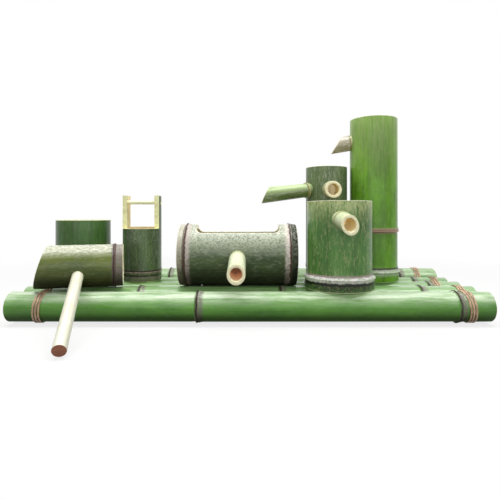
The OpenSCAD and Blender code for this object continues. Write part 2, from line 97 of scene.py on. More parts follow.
class LashingSettings(bpy.types.PropertyGroup):
    pale: tint("Pale rattan", (0.80, 0.56, 0.37), "Outer side of a strip")
    dark: tint("Dark rattan", (0.32, 0.18, 0.12), "Grain and edges of a strip")


class TallCulmSettings(bpy.types.PropertyGroup):
    wall: size("Wall", 7, "Wall of the culm")
    fresh: tint("Fresh skin", (0.15, 0.37, 0.022), "Green of its skin")
    deep: tint("Deep skin", (0.085, 0.22, 0.012), "Darker green in its blotches")
    bloom: tint("Bloom", (0.46, 0.56, 0.24), "Grey bloom near the top")


class MediumCulmSettings(bpy.types.PropertyGroup):
    wall: size("Wall", 6.5, "Wall of the culm")
    fresh: tint("Skin", (0.115, 0.18, 0.062), "Green of its skin")
    deep: tint("Deep skin", (0.055, 0.10, 0.032), "Darker green in its blotches")
    bloom: tint("Bloom", (0.46, 0.50, 0.36), "Grey weathering")


class FrontCulmSettings(bpy.types.PropertyGroup):
    wall: size("Wall", 7, "Wall of the culm")
    fresh: tint("Skin", (0.105, 0.26, 0.058), "Green of its skin")
    deep: tint("Deep skin", (0.05, 0.13, 0.03), "Darker green in its blotches")
    bloom: tint("Bloom", (0.60, 0.62, 0.30), "Pale speckles near the mouth")


class DrumSettings(bpy.types.PropertyGroup):
    wall: size("Wall", 7, "Wall of the drum")
    skirt: size("Skirt", 12, "Distance from each end to the node beside it")
    mouth: size("Mouth", 139, "Length of the opening cut in its top")
    mouth_depth: size("Mouth depth", 14, "How deep that opening is cut")
    fresh: tint("Skin", (0.10, 0.15, 0.055), "Green of its skin")
    deep: tint("Deep skin", (0.045, 0.075, 0.028), "Darker green in its blotches")
    # also painted on the drum's upper faces, as bloom and painted highlight
    bloom: tint("Bloom", (0.68, 0.71, 0.58), "White speckled bloom on its top")


class BucketSettings(bpy.types.PropertyGroup):
    wall: size("Wall", 8, "Wall of the bucket")
    rim: size("Rim", 94, "Height of the rim above its foot")
    ear_width: size("Ear width", 20, "Width of an ear from front to back")
    crossbar_height: size("Crossbar height", 140, "Height of the crossbar above its foot")
    crossbar: size("Crossbar", 7.5, "Diameter of the crossbar")
    fresh: tint("Skin", (0.10, 0.165, 0.065), "Green of its skin")
    deep: tint("Deep skin", (0.045, 0.06, 0.036), "Grey purple of its blotches")
    bloom: tint("Bloom", (0.36, 0.38, 0.30), "Grey bloom")


class LadleSettings(bpy.types.PropertyGroup):
    diameter: size("Diameter", 67.5, "Outer diameter of the cup")
    wall: size("Wall", 5, "Wall of the cup")
    length: size("Length", 132, "Length of the cup along its long side")
    slant: turn("Mouth slant", 15.5, "Slant of the cup's mouth")
    skirt: size("Skirt", 13, "Distance from the closed end to its node")
    handle: size("Handle", 17, "Diameter of the handle")
    handle_out: size("Handle length", 172.5, "Length of the handle outside the cup")
    fresh: tint("Skin", (0.14, 0.18, 0.035), "Olive green of its skin")
    deep: tint("Deep skin", (0.06, 0.09, 0.028), "Darker olive")
    # also painted on the cup's upper faces, mostly as a painted highlight
    bloom: tint("Bloom", (0.90, 0.90, 0.76), "Pinkish white bloom on its top")
    peeled: tint("Peeled handle", (0.90, 0.90, 0.76), "Pale peeled wood of the handle")


class CupSettings(bpy.types.PropertyGroup):
    wall: size("Wall", 5, "Wall of the cup")
    fresh: tint("Skin", (0.058, 0.145, 0.03), "Green of its skin")
    deep: tint("Deep skin", (0.05, 0.10, 0.03), "Darker green in its streaks")
    bloom: tint("Bloom", (0.30, 0.36, 0.22), "Thin bloom")


class SpoutSettings(bpy.types.PropertyGroup):
    wall: size("Wall", 4.5, "Wall of a spout")
    inside: size("Push depth", 3, "How far a spout reaches past its culm's inner wall")
    cream: tint("Cream tube", (0.82, 0.88, 0.60), "Peeled tube of the front spouts")
    green: tint("Green tube", (0.46, 0.60, 0.26), "Tube of the long side spout")
    waxy: tint("Waxy tube", (0.58, 0.53, 0.46), "Tube of the tall culm's beak")
    cut: tint("Cut face", (0.90, 0.88, 0.58), "Saw cut of the bamboo wall")
    pith: tint("Bore", (1.0, 0.82, 0.44), "Tan inside of a spout")


class FittingSettings(bpy.types.PropertyGroup):
    plastic: tint("Inlet plastic", (0.07, 0.075, 0.08), "Moulded inlet fitting")
    rubber: tint("Grommet rubber", (0.025, 0.025, 0.026), "Grommet in the back wall")
    hose: tint("Riser hose", (0.62, 0.66, 0.62), "Milky hose inside the tall culm")
    steel: tint("Screws", (0.20, 0.195, 0.185), "Steel of the hold-down screws")


class StageSettings(bpy.types.PropertyGroup):
    floor: tint("Floor", (0.86, 0.86, 0.85), "Pale floor")
    distance: size("Camera distance", 729, "From the middle of the raft to the camera")
    height: size("Camera height", 165, "Height of the camera above the floor")
    lens: bpy.props.FloatProperty(name="Lens", description="Focal length in millimetres",
                                  default=29.88, min=10.0, max=200.0, subtype="DISTANCE_CAMERA")
    overhead: bpy.props.FloatProperty(name="Overhead light", default=15.0, min=0.0, unit="POWER",
                                      description="Power of the soft box above the fountain")
    fill: bpy.props.FloatProperty(name="Front light", default=10.0, min=0.0, unit="POWER",
                                  description="Power of the soft box in front")


SETTINGS = {
    "fountain_raft": RaftSettings, "fountain_lashing": LashingSettings,
    "fountain_tall": TallCulmSettings, "fountain_medium": MediumCulmSettings,
    "fountain_front": FrontCulmSettings, "fountain_drum": DrumSettings,
    "fountain_bucket": BucketSettings, "fountain_ladle": LadleSettings,
    "fountain_cup": CupSettings, "fountain_spout": SpoutSettings,
    "fountain_fitting": FittingSettings, "fountain_stage": StageSettings,
}


# Node trees

class Tree:
    """Adds nodes to a node tree. An input is given as a value or as another node's output."""

    def __init__(self, tree):
        self.tree = tree
        tree.nodes.clear()

    def add(self, kind, values=None, **settings):
        node = self.tree.nodes.new("ShaderNode" + kind)
        for name, value in settings.items():
            setattr(node, name, value)
        for key, value in (values or {}).items():
            self.feed(node.inputs[key], value)
        return node

    def feed(self, socket, value):
        if isinstance(value, bpy.types.NodeSocket):
            self.tree.links.new(value, socket)
        elif socket.type == "RGBA":
            socket.default_value = (*value[:3], 1.0)
        else:
            socket.default_value = value

    def math(self, operation, *values):
        return self.add("Math", dict(enumerate(values)), operation=operation).outputs[0]

    def times(self, first, second):
        return self.math("MULTIPLY", first, second)

    def plus(self, first, second):
        return self.math("ADD", first, second)

    def mix(self, factor, first, second, blend="MIX"):
        return self.add("Mix", {0: factor, 6: first, 7: second}, data_type="RGBA",
                        blend_type=blend, clamp_factor=True).outputs[2]

    def tinted(self, colour, tone):
        return self.mix(1.0, colour, tone, "MULTIPLY")

    def height(self, vector):
        return self.add("SeparateXYZ", {0: vector}).outputs[2]

    def upward(self):
        """How far a face looks up, from -1 to 1."""
        return self.height(self.add("TexCoord").outputs["Normal"])

    def stretch(self, vector, across, along, shift=0.0):
        """Scales a vector across and along Z, so that a noise becomes grain along Z."""
        return self.add("Mapping", {"Vector": vector, "Location": (shift, shift, shift),
                                    "Scale": (across, across, along)}).outputs[0]

    def noise(self, vector, scale=1.0, detail=3.0, rough=0.55):
        return self.add("TexNoise", {"Vector": vector, "Scale": scale, "Detail": detail,
                                     "Roughness": rough}).outputs[0]

    def step(self, value, low, high, to_low=0.0, to_high=1.0):
        """Turns a value from low to high smoothly into one from to_low to to_high."""
        return self.add("MapRange", {0: value, 1: low, 2: high, 3: to_low, 4: to_high},
                        interpolation_type="SMOOTHSTEP").outputs[0]

    def group(self, name, **values):
        """Places a shared node group; an input's spaces are written as underscores."""
        node = self.tree.nodes.new("ShaderNodeGroup")
        node.node_tree = bpy.data.node_groups[name]
        for key, value in values.items():
            self.feed(node.inputs[key.replace("_", " ")], value)
        return node.outputs


def new_group(name, inputs, outputs):
    """Starts a node group. Returns its tree, its inputs by name and a way to set outputs."""
    made = bpy.data.node_groups.new(name, "ShaderNodeTree")
    tree = Tree(made)
    for label, kind, default in inputs:
        socket = made.interface.new_socket(label, in_out="INPUT", socket_type="NodeSocket" + kind)
        if kind == "Color":
            socket.default_value = (*default, 1.0)
        elif kind == "Float":
            socket.default_value = default
    for label, kind in outputs:
        made.interface.new_socket(label, in_out="OUTPUT", socket_type="NodeSocket" + kind)
    source = made.nodes.new("NodeGroupInput").outputs
    sink = made.nodes.new("NodeGroupOutput").inputs
    return tree, source, sink


def build_skin_group():
    """Bamboo skin, with the culm along Z: blotches, grain along the culm and waxy bloom."""
    tree, given, result = new_group("Bamboo skin", [
        ("Vector", "Vector", None), ("Fresh", "Color", (0.1, 0.3, 0.05)),
        ("Deep", "Color", (0.05, 0.15, 0.03)), ("Bloom", "Color", (0.6, 0.6, 0.5)),
        ("Blotches", "Float", 0.7), ("Grain", "Float", 0.5), ("Bloom amount", "Float", 0.3),
        ("Specks", "Float", 0.2), ("Seed", "Float", 0.0)],
        [("Color", "Color"), ("Roughness", "Float"), ("Height", "Float")])
    moved = tree.add("VectorMath", {0: given["Vector"], 1: given["Seed"]},
                     operation="ADD").outputs[0]
    blotch = tree.step(tree.noise(tree.stretch(moved, 30, 13), detail=5, rough=0.62), 0.36, 0.66)
    grain = tree.noise(tree.stretch(moved, 330, 7), detail=4, rough=0.6)
    fine = tree.noise(tree.stretch(moved, 1100, 26), detail=2)
    patches = tree.step(tree.noise(tree.stretch(moved, 62, 34, 3.0), detail=7, rough=0.72),
                        0.3, 0.7)
    speckle = tree.step(tree.noise(tree.stretch(moved, 520, 300, 5.0), detail=2, rough=0.7),
                        0.32, 0.68)
    specks = tree.step(tree.noise(tree.stretch(moved, 300, 85, 9.0), detail=5, rough=0.78),
                       0.5, 0.64)
    dark_grain = tree.times(tree.step(grain, 0.45, 0.75), given["Grain"])
    pale_grain = tree.times(tree.step(fine, 0.55, 0.8), given["Grain"])
    worn = tree.plus(tree.plus(tree.times(patches, 0.62), tree.times(speckle, 0.38)),
                     given["Bloom amount"])
    bloom = tree.step(worn, 0.7, 1.15, 0.0, 0.92)
    colour = tree.mix(tree.times(blotch, given["Blotches"]), given["Fresh"], given["Deep"])
    colour = tree.mix(dark_grain, colour, tree.tinted(colour, (0.52, 0.55, 0.45)))
    colour = tree.mix(pale_grain, colour, tree.tinted(colour, (1.5, 1.45, 1.35)))
    colour = tree.mix(bloom, colour, given["Bloom"])
    colour = tree.mix(tree.times(specks, given["Specks"]), colour, given["Bloom"])
    tree.feed(result["Color"], colour)
    tree.feed(result["Roughness"], tree.plus(tree.times(bloom, 0.38),
                                             tree.math("MULTIPLY_ADD", fine, 0.14, 0.2)))
    tree.feed(result["Height"], tree.plus(tree.times(grain, 0.7), tree.times(fine, 0.3)))


def build_ring_group():
    """A node painted over a skin: a dark scar line, and a ragged band of wax beside it."""
    tree, given, result = new_group("Bamboo node", [
        ("Vector", "Vector", None), ("Color", "Color", (0.1, 0.3, 0.05)),
        ("Place", "Float", 0.0), ("Scar", "Color", (0.1, 0.06, 0.05)),
        ("Scar width", "Float", 1.2 * MM), ("Wax", "Color", (0.6, 0.55, 0.5)),
        ("Wax width", "Float", 6 * MM), ("Wax amount", "Float", 0.6),
        ("Ragged", "Float", 2 * MM)], [("Color", "Color"), ("Wax", "Float")])
    uneven = tree.noise(tree.stretch(given["Vector"], 150, 90), detail=4, rough=0.65)
    ragged = tree.times(tree.math("SUBTRACT", uneven, 0.5), given["Ragged"])
    away = tree.plus(tree.math("SUBTRACT", tree.height(given["Vector"]), given["Place"]), ragged)
    along = tree.math("DIVIDE", away, given["Wax width"])
    band = tree.times(tree.step(along, -0.1, 0.12), tree.step(along, 0.62, 1.15, 1, 0))
    mottle = tree.step(tree.noise(tree.stretch(given["Vector"], 260, 260), detail=4), 0.3, 0.62,
                       0.35, 1.0)
    wax = tree.times(tree.times(band, mottle), given["Wax amount"])
    offset = tree.math("DIVIDE", tree.math("ABSOLUTE", away), given["Scar width"])
    line = tree.step(offset, 0.55, 1.6, 0.95, 0.0)
    colour = tree.mix(wax, given["Color"], given["Wax"])
    tree.feed(result["Color"], tree.mix(line, colour, given["Scar"]))
    tree.feed(result["Wax"], wax)


def build_cut_group():
    """Saw-cut bamboo: pale pith with the small dark ends of its fibres, denser in places."""
    tree, given, result = new_group("Cut bamboo", [
        ("Vector", "Vector", None), ("Pale", "Color", (0.8, 0.76, 0.5)),
        ("Fibre", "Color", (0.4, 0.28, 0.12)), ("Fibres", "Float", 0.5)],
        [("Color", "Color"), ("Height", "Float")])
    spot = tree.add("TexVoronoi", {"Vector": given["Vector"], "Scale": 950.0}).outputs[0]
    dots = tree.step(spot, 0.18, 0.42, 1.0, 0.0)
    worn = tree.noise(given["Vector"], 160, detail=4, rough=0.6)
    colour = tree.mix(tree.times(tree.step(worn, 0.35, 0.75), 0.35), given["Pale"],
                      given["Fibre"])
    colour = tree.mix(tree.times(dots, given["Fibres"]), colour, given["Fibre"])
    tree.feed(result["Color"], colour)
    tree.feed(result["Height"], tree.math("SUBTRACT", worn, tree.times(dots, 0.4)))


def new_material(name):
    material = bpy.data.materials.new(name)
    material.use_nodes = True
    return material, Tree(material.node_tree)


def place_vector(tree, place):
    """Object coordinates centred and turned so that the piece's axis is Z."""
    where, facing, _ = place.decompose()
    coordinates = tree.add("TexCoord").outputs["Object"]
    return tree.add("Mapping", {"Vector": coordinates, "Location": where,
                                "Rotation": facing.to_euler()},
                    vector_type="TEXTURE").outputs[0]


def finish_surface(tree, colour, rough, height, bump=0.3 * MM, strength=0.4, **sockets):
    """The shader of a material, with its height as bump; the sockets' spaces are underscores."""
    shader = tree.add("BsdfPrincipled", {"Base Color": colour, "Roughness": rough})
    for name, value in sockets.items():
        tree.feed(shader.inputs[name.replace("_", " ")], value)
    tree.feed(shader.inputs["Normal"], tree.add(
        "Bump", {"Height": height, "Strength": strength, "Distance": bump}).outputs[0])
    output = tree.add("OutputMaterial")
    tree.tree.links.new(shader.outputs[0], output.inputs[0])


class Ring(NamedTuple):
    """A painted node, its lengths in millimetres: its height, its scar's colour and width, and
    its wax's colour, width (negative for a band below), amount and raggedness."""
    at: float
    scar: tuple
    line: float
    wax: tuple
    width: float
    amount: float
    ragged: float


def skin_material(name, place, look, seed, bloom=0.2, blotches=0.7, grain=0.5, top=None,
                  fade=None, rings=(), gloss=0.3, mottle=(300, 22, 0.45), specks=0.2):
    """A bamboo skin. top = (low, high, amount) paints the faces that look up with the bloom
    colour, partly as real bloom and partly as a painted highlight; fade, in the same form, paints
    real bloom along the culm. mottle is how fine that paint is across and along the culm, and the
    share that its bare spots keep. A culm with top lies down, and its faces that look down are
    painted darker, as painted shade with some grime."""
    material, tree = new_material(name)
    vector = place_vector(tree, place)
    skin = tree.group("Bamboo skin", Vector=vector, Fresh=look.fresh, Deep=look.deep,
                      Bloom=look.bloom, Blotches=blotches, Grain=grain, Bloom_amount=bloom,
                      Specks=specks, Seed=seed)
    colour = skin["Color"]
    rough = skin["Roughness"]
    coat = gloss
    if top:
        upward = tree.upward()
        # a culm with top has its upper faces painted with bloom and a painted highlight
        bloom_and_highlight = tree.step(upward, top[0], top[1], 0.0, top[2])
        # faces that look down are painted darker: painted shade under the culm, with some grime
        underside_shade_and_grime = tree.step(upward, 0.1, -0.75, 0.0, 0.92)
        rough = tree.math("MULTIPLY_ADD", underside_shade_and_grime, 0.5, rough)
        coat = tree.step(upward, -0.7, 0.1, 0.0, gloss)
    elif fade:
        bloom_and_highlight = tree.step(tree.height(vector), fade[0], fade[1], 0.0, fade[2])
    if top or fade:
        across, along, bare = mottle
        streaks = tree.noise(tree.stretch(vector, across, along, seed), detail=6, rough=0.7)
        bloom_and_highlight = tree.times(bloom_and_highlight, tree.step(streaks, 0.33, 0.62, bare, 1.05))
        # bloom, and on a culm with top also a painted highlight, laid over the skin
        colour = tree.mix(bloom_and_highlight, colour, look.bloom)
        rough = tree.math("MULTIPLY_ADD", bloom_and_highlight, 0.12, rough)
    for ring in rings:
        node = tree.group("Bamboo node", Vector=vector, Color=colour, Place=ring.at * MM,
                          Scar=ring.scar, Scar_width=ring.line * MM, Wax=ring.wax,
                          Wax_width=ring.width * MM, Wax_amount=ring.amount,
                          Ragged=ring.ragged * MM)
        colour = node["Color"]
        rough = tree.math("MULTIPLY_ADD", node["Wax"], 0.3, rough)
    # the painted shade underneath, with some grime, darkens the colour
    if top:
        colour = tree.mix(underside_shade_and_grime, colour, tree.tinted(colour, (0.16, 0.13, 0.14)))
    finish_surface(tree, colour, rough, skin["Height"], 0.35 * MM, 0.45, Coat_Weight=coat,
                   Coat_Roughness=0.2, Specular_IOR_Level=0.15)
    return material


def cut_material(name, pale, fibre, fibres=0.5):
    material, tree = new_material(name)
    vector = tree.add("TexCoord").outputs["Object"]
    cut = tree.group("Cut bamboo", Vector=vector, Pale=pale, Fibre=fibre, Fibres=fibres)
    finish_surface(tree, cut["Color"], 0.62, cut["Height"])
    return material


def bore_material(name, place, tone, dark, stained=0.45, mouth=None):
    """The papery inner wall of a culm, streaked along it. It turns into the colour of mouth,
    which is (height, colour), within 12 mm of that height."""
    material, tree = new_material(name)
    vector = place_vector(tree, place)
    streak = tree.noise(tree.stretch(vector, 240, 9), detail=5, rough=0.6)
    stain = tree.step(tree.noise(vector, 28, detail=4), 0.35, 0.7)
    colour = tree.mix(tree.step(streak, 0.35, 0.7), tone, dark)
    colour = tree.mix(tree.times(stain, stained), colour,
                      tree.tinted(colour, (0.45, 0.38, 0.3)))
    if mouth:
        near = tree.step(tree.height(vector), mouth[0] - 12 * MM, mouth[0] - 4 * MM)
        colour = tree.mix(near, colour, mouth[1])
    finish_surface(tree, colour, 0.55, streak, strength=0.35)
    return material


def bamboo_materials(name, place, look, seed, bore_tone=(0.85, 0.78, 0.52),
                     bore_dark=(0.62, 0.48, 0.26), cut=CUT_PALE, **skin):
    """The skin, saw cut and bore of a culm, in the order of SKIN, CUT and BORE."""
    return [skin_material(name + "_skin", place, look, seed, **skin),
            cut_material(name + "_cut", cut, CUT_FIBRE),
            bore_material(name + "_bore", place, bore_tone, bore_dark)]


# Mesh tools

def axis_place(where, tilt=0.0, heading=0.0):
    """Turns +Z by tilt about Y and then by heading about Z, in degrees, and moves it."""
    facing = Euler((0.0, math.radians(tilt), math.radians(heading))).to_matrix().to_4x4()
    return Matrix.Translation(where) @ facing


def leaning(where, tilt):
    """Moves +Z to where, leaning by tilt degrees towards +Y."""
    return Matrix.Translation(where) @ Matrix.Rotation(math.radians(-tilt), 4, "X")


def lathe(bm, outline, part, steps=96):
    """Spins an outline of (radius, height) about Z."""
    before = set(bm.faces)
    verts = [bm.verts.new((radius, 0.0, height)) for radius, height in outline]
    edges = [bm.edges.new(pair) for pair in zip(verts, verts[1:])]
    bmesh.ops.spin(bm, geom=verts + edges, cent=(0, 0, 0), axis=(0, 0, 1), dvec=(0, 0, 0),
                   angle=math.tau, steps=steps, use_merge=True, use_duplicate=False)
    for face in set(bm.faces) - before:
        face.material_index = part


def node_outline(radius, above, at, proud):
    """A node in profile: a sharp sheath scar, a groove and a swell over it."""
    half = RIDGE_HALF
    return [(radius, at - 2.4 * half), (radius - 0.15 * proud, at - half),
            (radius + 0.35 * proud, at - 0.5 * half), (radius + proud, at - 0.2 * half),
            (radius + 0.95 * proud, at), (radius + 0.3 * proud, at + 0.3 * half),
            (above + 0.65 * proud, at + 0.75 * half), (above + 0.45 * proud, at + 1.2 * half),
            (above + 0.1 * proud, at + 2.2 * half)]


def outline_along(start, end, nodes, proud, shoulder=None):
    """A skin outline from start to end, each (radius, height), with nodes at these heights.
    Above the first node it may narrow to a shoulder, in the same form."""
    points = [start]
    radius = start[0]
    for at in nodes:
        above = shoulder[0] if shoulder else radius
        points += node_outline(radius, above, at, proud)
        if shoulder:
            points.append(shoulder)
            radius, shoulder = above, None
    last = points[-1]
    count = max(1, int((end[1] - last[1]) / SPACING))
    points += [(last[0] + (end[0] - last[0]) * k / count,
                last[1] + (end[1] - last[1]) * k / count) for k in range(1, count)]
    return points + [end]


def wobble(bm, depth, seed):
    """Makes a turned shape a little oval and uneven, never wider than it was."""
    for vert in bm.verts:
        radius = math.hypot(vert.co.x, vert.co.y)
        if radius > depth * 4:
            around = math.atan2(vert.co.y, vert.co.x)
            uneven = noise.noise(Vector((1.5 * vert.co.x / radius, 1.5 * vert.co.y / radius,
                                         vert.co.z * 16 + seed)))
            shrink = depth * (0.5 + 0.3 * math.cos(2 * around + seed) + 0.2 * uneven)
            vert.co.x *= 1 - shrink / radius
            vert.co.y *= 1 - shrink / radius


def loop_count(edges):
    """How many separate loops these edges make."""
    left = set(edges)
    count = 0
    while left:
        count += 1
        reached = [left.pop()]
        while reached:
            for vert in reached.pop().verts:
                near = left.intersection(vert.link_edges)
                left -= near
                reached += near
    return count


def saw(bm, point, normal):
    """Cuts off what lies beyond a plane, closes the end with a pale face and eases its edges."""
    cut = bmesh.ops.bisect_plane(bm, geom=bm.verts[:] + bm.edges[:] + bm.faces[:], dist=1e-7,
                                 plane_co=point, plane_no=normal, clear_outer=True)
    rim = [item for item in cut["geom_cut"] if isinstance(item, bmesh.types.BMEdge)]
    before = set(bm.faces)
    if loop_count(rim) > 1:
        bmesh.ops.triangle_fill(bm, edges=rim, use_beauty=True, use_dissolve=False)
    else:
        bmesh.ops.contextual_create(bm, geom=rim)
    for face in set(bm.faces) - before:
        face.material_index = CUT
    bmesh.ops.recalc_face_normals(bm, faces=bm.faces)
    bmesh.ops.bevel(bm, geom=rim, offset=SAW_EASE, offset_type="OFFSET", segments=2, profile=0.5,
                    affect="EDGES", material=CUT, clamp_overlap=False)


def hollow_tube(outline, bores, uneven=0.0, seed=0.0, steps=96, slant=None):
    """A tube from its skin outline. Each bore is (radius, from height, to height), where
    the from height is None for an open through bore. slant is the plane of a slanting cut,
    and the outline then reaches past it."""
    bm = bmesh.new()
    low, high = outline[0][1], outline[-1][1]
    past = 0.0 if slant else PAST
    skin = [(outline[0][0], low - PAST)] + list(outline)
    if past:
        skin.append((outline[-1][0], high + past))
    lathe(bm, skin, SKIN, steps)
    corner = 1.5 * MM
    for radius, start, end in bores:
        if start is None:
            lathe(bm, [(radius, low - PAST), (radius, high + past)], BORE, steps)
        else:
            way = math.copysign(corner, end - start)
            mouth = end + past if end > start else end - PAST
            lathe(bm, [(0.0, start), (radius - corner, start), (radius, start + way),
                       (radius, mouth)], BORE, steps)
    bmesh.ops.remove_doubles(bm, verts=bm.verts, dist=1e-6)
    if uneven:
        wobble(bm, uneven, seed)
    saw(bm, (0, 0, low), (0, 0, -1))
    saw(bm, *(slant or ((0, 0, high), (0, 0, 1))))
    return bm


def culm_tube(outline, inner, nodes, uneven, seed, steps=96, slant=None):
    """A culm with a bore from either end to the septum in the node nearest to it."""
    return hollow_tube(outline, [(inner, nodes[0] - SEPTUM / 2, outline[0][1]),
                                 (inner, nodes[-1] + SEPTUM / 2, outline[-1][1])],
                       uneven, seed, steps, slant)


def slant_plane(radius, length, slant, down, roll=0.0):
    """The plane of a slanting cut whose lower lip is longer; down is 1 or -1 along X, and roll
    turns the cut about the tube. The angles are in degrees."""
    turned = math.radians(slant)
    lip = Matrix.Rotation(math.radians(roll), 3, "Z") @ Vector((down, 0, 0))
    return (lip * radius + Vector((0, 0, length)),
            lip * -math.sin(turned) + Vector((0, 0, math.cos(turned))))


def rod_cutter(bm, radius, start, end, place, part=CUT):
    before = set(bm.faces)
    bmesh.ops.create_cone(bm, cap_ends=True, segments=48, radius1=radius, radius2=radius,
                          depth=end - start,
                          matrix=place @ Matrix.Translation((0, 0, (start + end) / 2)))
    for face in set(bm.faces) - before:
        face.material_index = part


def block_cutter(bm, low, high, rounded=0.0):
    """A block; rounded eases its two lower edges that run along Y."""
    before = set(bm.faces)
    low, high = Vector(low), Vector(high)
    cube = bmesh.ops.create_cube(bm, size=1.0, matrix=Matrix.Translation((low + high) / 2)
                                 @ Matrix.Diagonal((*(high - low), 1.0)))["verts"]
    if rounded:
        floor = [vert for vert in cube if vert.co.z < low.z + 1e-6]
        edges = {edge for vert in floor for edge in vert.link_edges
                 if abs(edge.verts[0].co.y - edge.verts[1].co.y) > 1e-6}
        bmesh.ops.bevel(bm, geom=list(edges), offset=rounded, offset_type="OFFSET", segments=8,
                        profile=0.5, affect="EDGES", material=-1, clamp_overlap=False)
    for face in set(bm.faces) - before:
        face.material_index = CUT


def make_object(name, bm, materials):
    bmesh.ops.recalc_face_normals(bm, faces=bm.faces)
    mesh = bpy.data.meshes.new(name)
    bm.to_mesh(mesh)
    bm.free()
    for material in materials:
        mesh.materials.append(material)
    piece = bpy.data.objects.new(name, mesh)
    bpy.context.scene.collection.objects.link(piece)
    return piece


def carve(piece, *cutters):
    """Takes the cutters' shapes out of a piece; the cutters are bmeshes in the row frame."""
    tools = [make_object("cutter", bm, piece.data.materials) for bm in cutters]
    for tool in tools:
        cut = piece.modifiers.new("cut", "BOOLEAN")
        cut.object = tool
        cut.operation = "DIFFERENCE"
        cut.solver = "EXACT"
    bpy.context.view_layer.update()
    graph = bpy.context.evaluated_depsgraph_get()
    carved = bpy.data.meshes.new_from_object(piece.evaluated_get(graph))
    piece.modifiers.clear()
    piece.data = carved
    for tool in tools:
        bpy.data.objects.remove(tool)


def settle(piece, body, slot, *nodes):
    """Shades a piece, ties it to its body and hides the CAD nodes it stands for; slot is not
    used.
    """
    for polygon in piece.data.polygons:
        polygon.use_smooth = True
    piece.data.set_sharp_from_angle(angle=SMOOTH_BELOW)
    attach(piece, body)
    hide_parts(*nodes)


def tube_piece(name, bm, place, materials, *cutters):
    bmesh.ops.transform(bm, matrix=place, verts=bm.verts)
    piece = make_object(name, bm, materials)
    if cutters:
        carve(piece, *cutters)
    return piece


# Where things are, in millimetres, as the source has them

# Height of each pole's nodes along it, how blotched it is, how much bloom and painted highlight
# its top has, and how glossy it is; the second pole is less blotched, painted brighter where the
# drum shades it
POLE_NODES = ((-80, 313), (-180, 49, 278), (-84, 96, 310), (-118, 70, 302), (-158, 84, 292))
POLE_BLOTCHES = (0.8, 0.15, 0.5, 0.6, 0.8)
POLE_TOP_BLOOM_AND_HIGHLIGHT = (0.95, 0.35, 0.4, 0.5, 0.75)
POLE_GLOSS = (0.4, 0.9, 0.9, 0.7, 0.4)
POLE_Y, POLE_Z = (-94.0, -46.0, 2.0, 50.0, 102.99), 25.05    # the axes; the last lies higher

# Each screw's X, its pole and how far it leans, in degrees. Two for each culm and the drum
SCREWS = ((254.89, 2, 0.0), (190.41, 3, 0.0), (108.95, 3, 0.0), (173.05, 3, 0.0),
          (107.96, 0, 0.0), (195.32, 1, 0.0), (-80.0, 1, 18.22), (40.0, 2, -18.22))
TALL_SCREWS, MEDIUM_SCREWS, FRONT_SCREWS, DRUM_SCREWS = (SCREWS[k:k + 2] for k in (0, 2, 4, 6))
SCREW_R, DRIVER_R, DRAIN_R, DRAIN_FROM_NODE = 2.05 * MM, 5 * MM, 2.5 * MM, 20 * MM
SCREW_DEPTH = 14.7 * MM      # of the hole in a culm's foot

TALL, MEDIUM = (225.629, 30.0), (141.0, 37.936)
TALL_R, MEDIUM_R, FRONT_R = 42, 37.5, 52
INLET_HEIGHT, INLET_HOLE_R = 157, 8.4
LADLE, LADLE_HEADING, LADLE_HANDLE = (-207.0, -50.0, 83.75), 15.5, 66
SPOUT_R = {"tall_spout": 14.25, "medium_side_spout": 12.25, "medium_front_spout": 14.5,
           "front_spout": 13.75, "drum_spout": 13.5}


def on_wall(middle, radius, heading, height):
    """A point on a round wall, in metres, from millimetres."""
    turned = math.radians(heading)
    return Vector(((middle[0] + radius * math.cos(turned)) * MM,
                   (middle[1] + radius * math.sin(turned)) * MM, height * MM))


def spout_place(root, heading, droop):
    return axis_place(root, 90 + droop, heading)


SPOUT_PLACES = {
    "tall_spout": spout_place(on_wall(TALL, TALL_R, 174.64, 297), 174.64, 9),
    "medium_side_spout": spout_place(on_wall(MEDIUM, MEDIUM_R, -158.06, 210), -158.06, 7),
    "medium_front_spout": spout_place(on_wall(MEDIUM, MEDIUM_R, -87.89, 210), -87.89, 3),
    "front_spout": spout_place(Vector((138.0, -108.592, 157.0)) * MM, -79, 13),
    "drum_spout": spout_place(Vector((-20.0, -73.381, 94.45)) * MM, -90, 14),
}

WHITE_WAX, BROWN_SCAR = (0.66, 0.65, 0.58), (0.11, 0.06, 0.04)


class PieceOperator:
    """What every piece operator shares."""
    bl_options = {"REGISTER", "UNDO"}


class FOUNTAIN_OT_groups(PieceOperator, bpy.types.Operator):
    """Build the shader node groups that the bamboo materials share"""
    bl_idname = "fountain.groups"
    bl_label = "Shared finishes"

    def execute(self, context):
        build_skin_group()
        build_ring_group()
        build_cut_group()
        return {"FINISHED"}


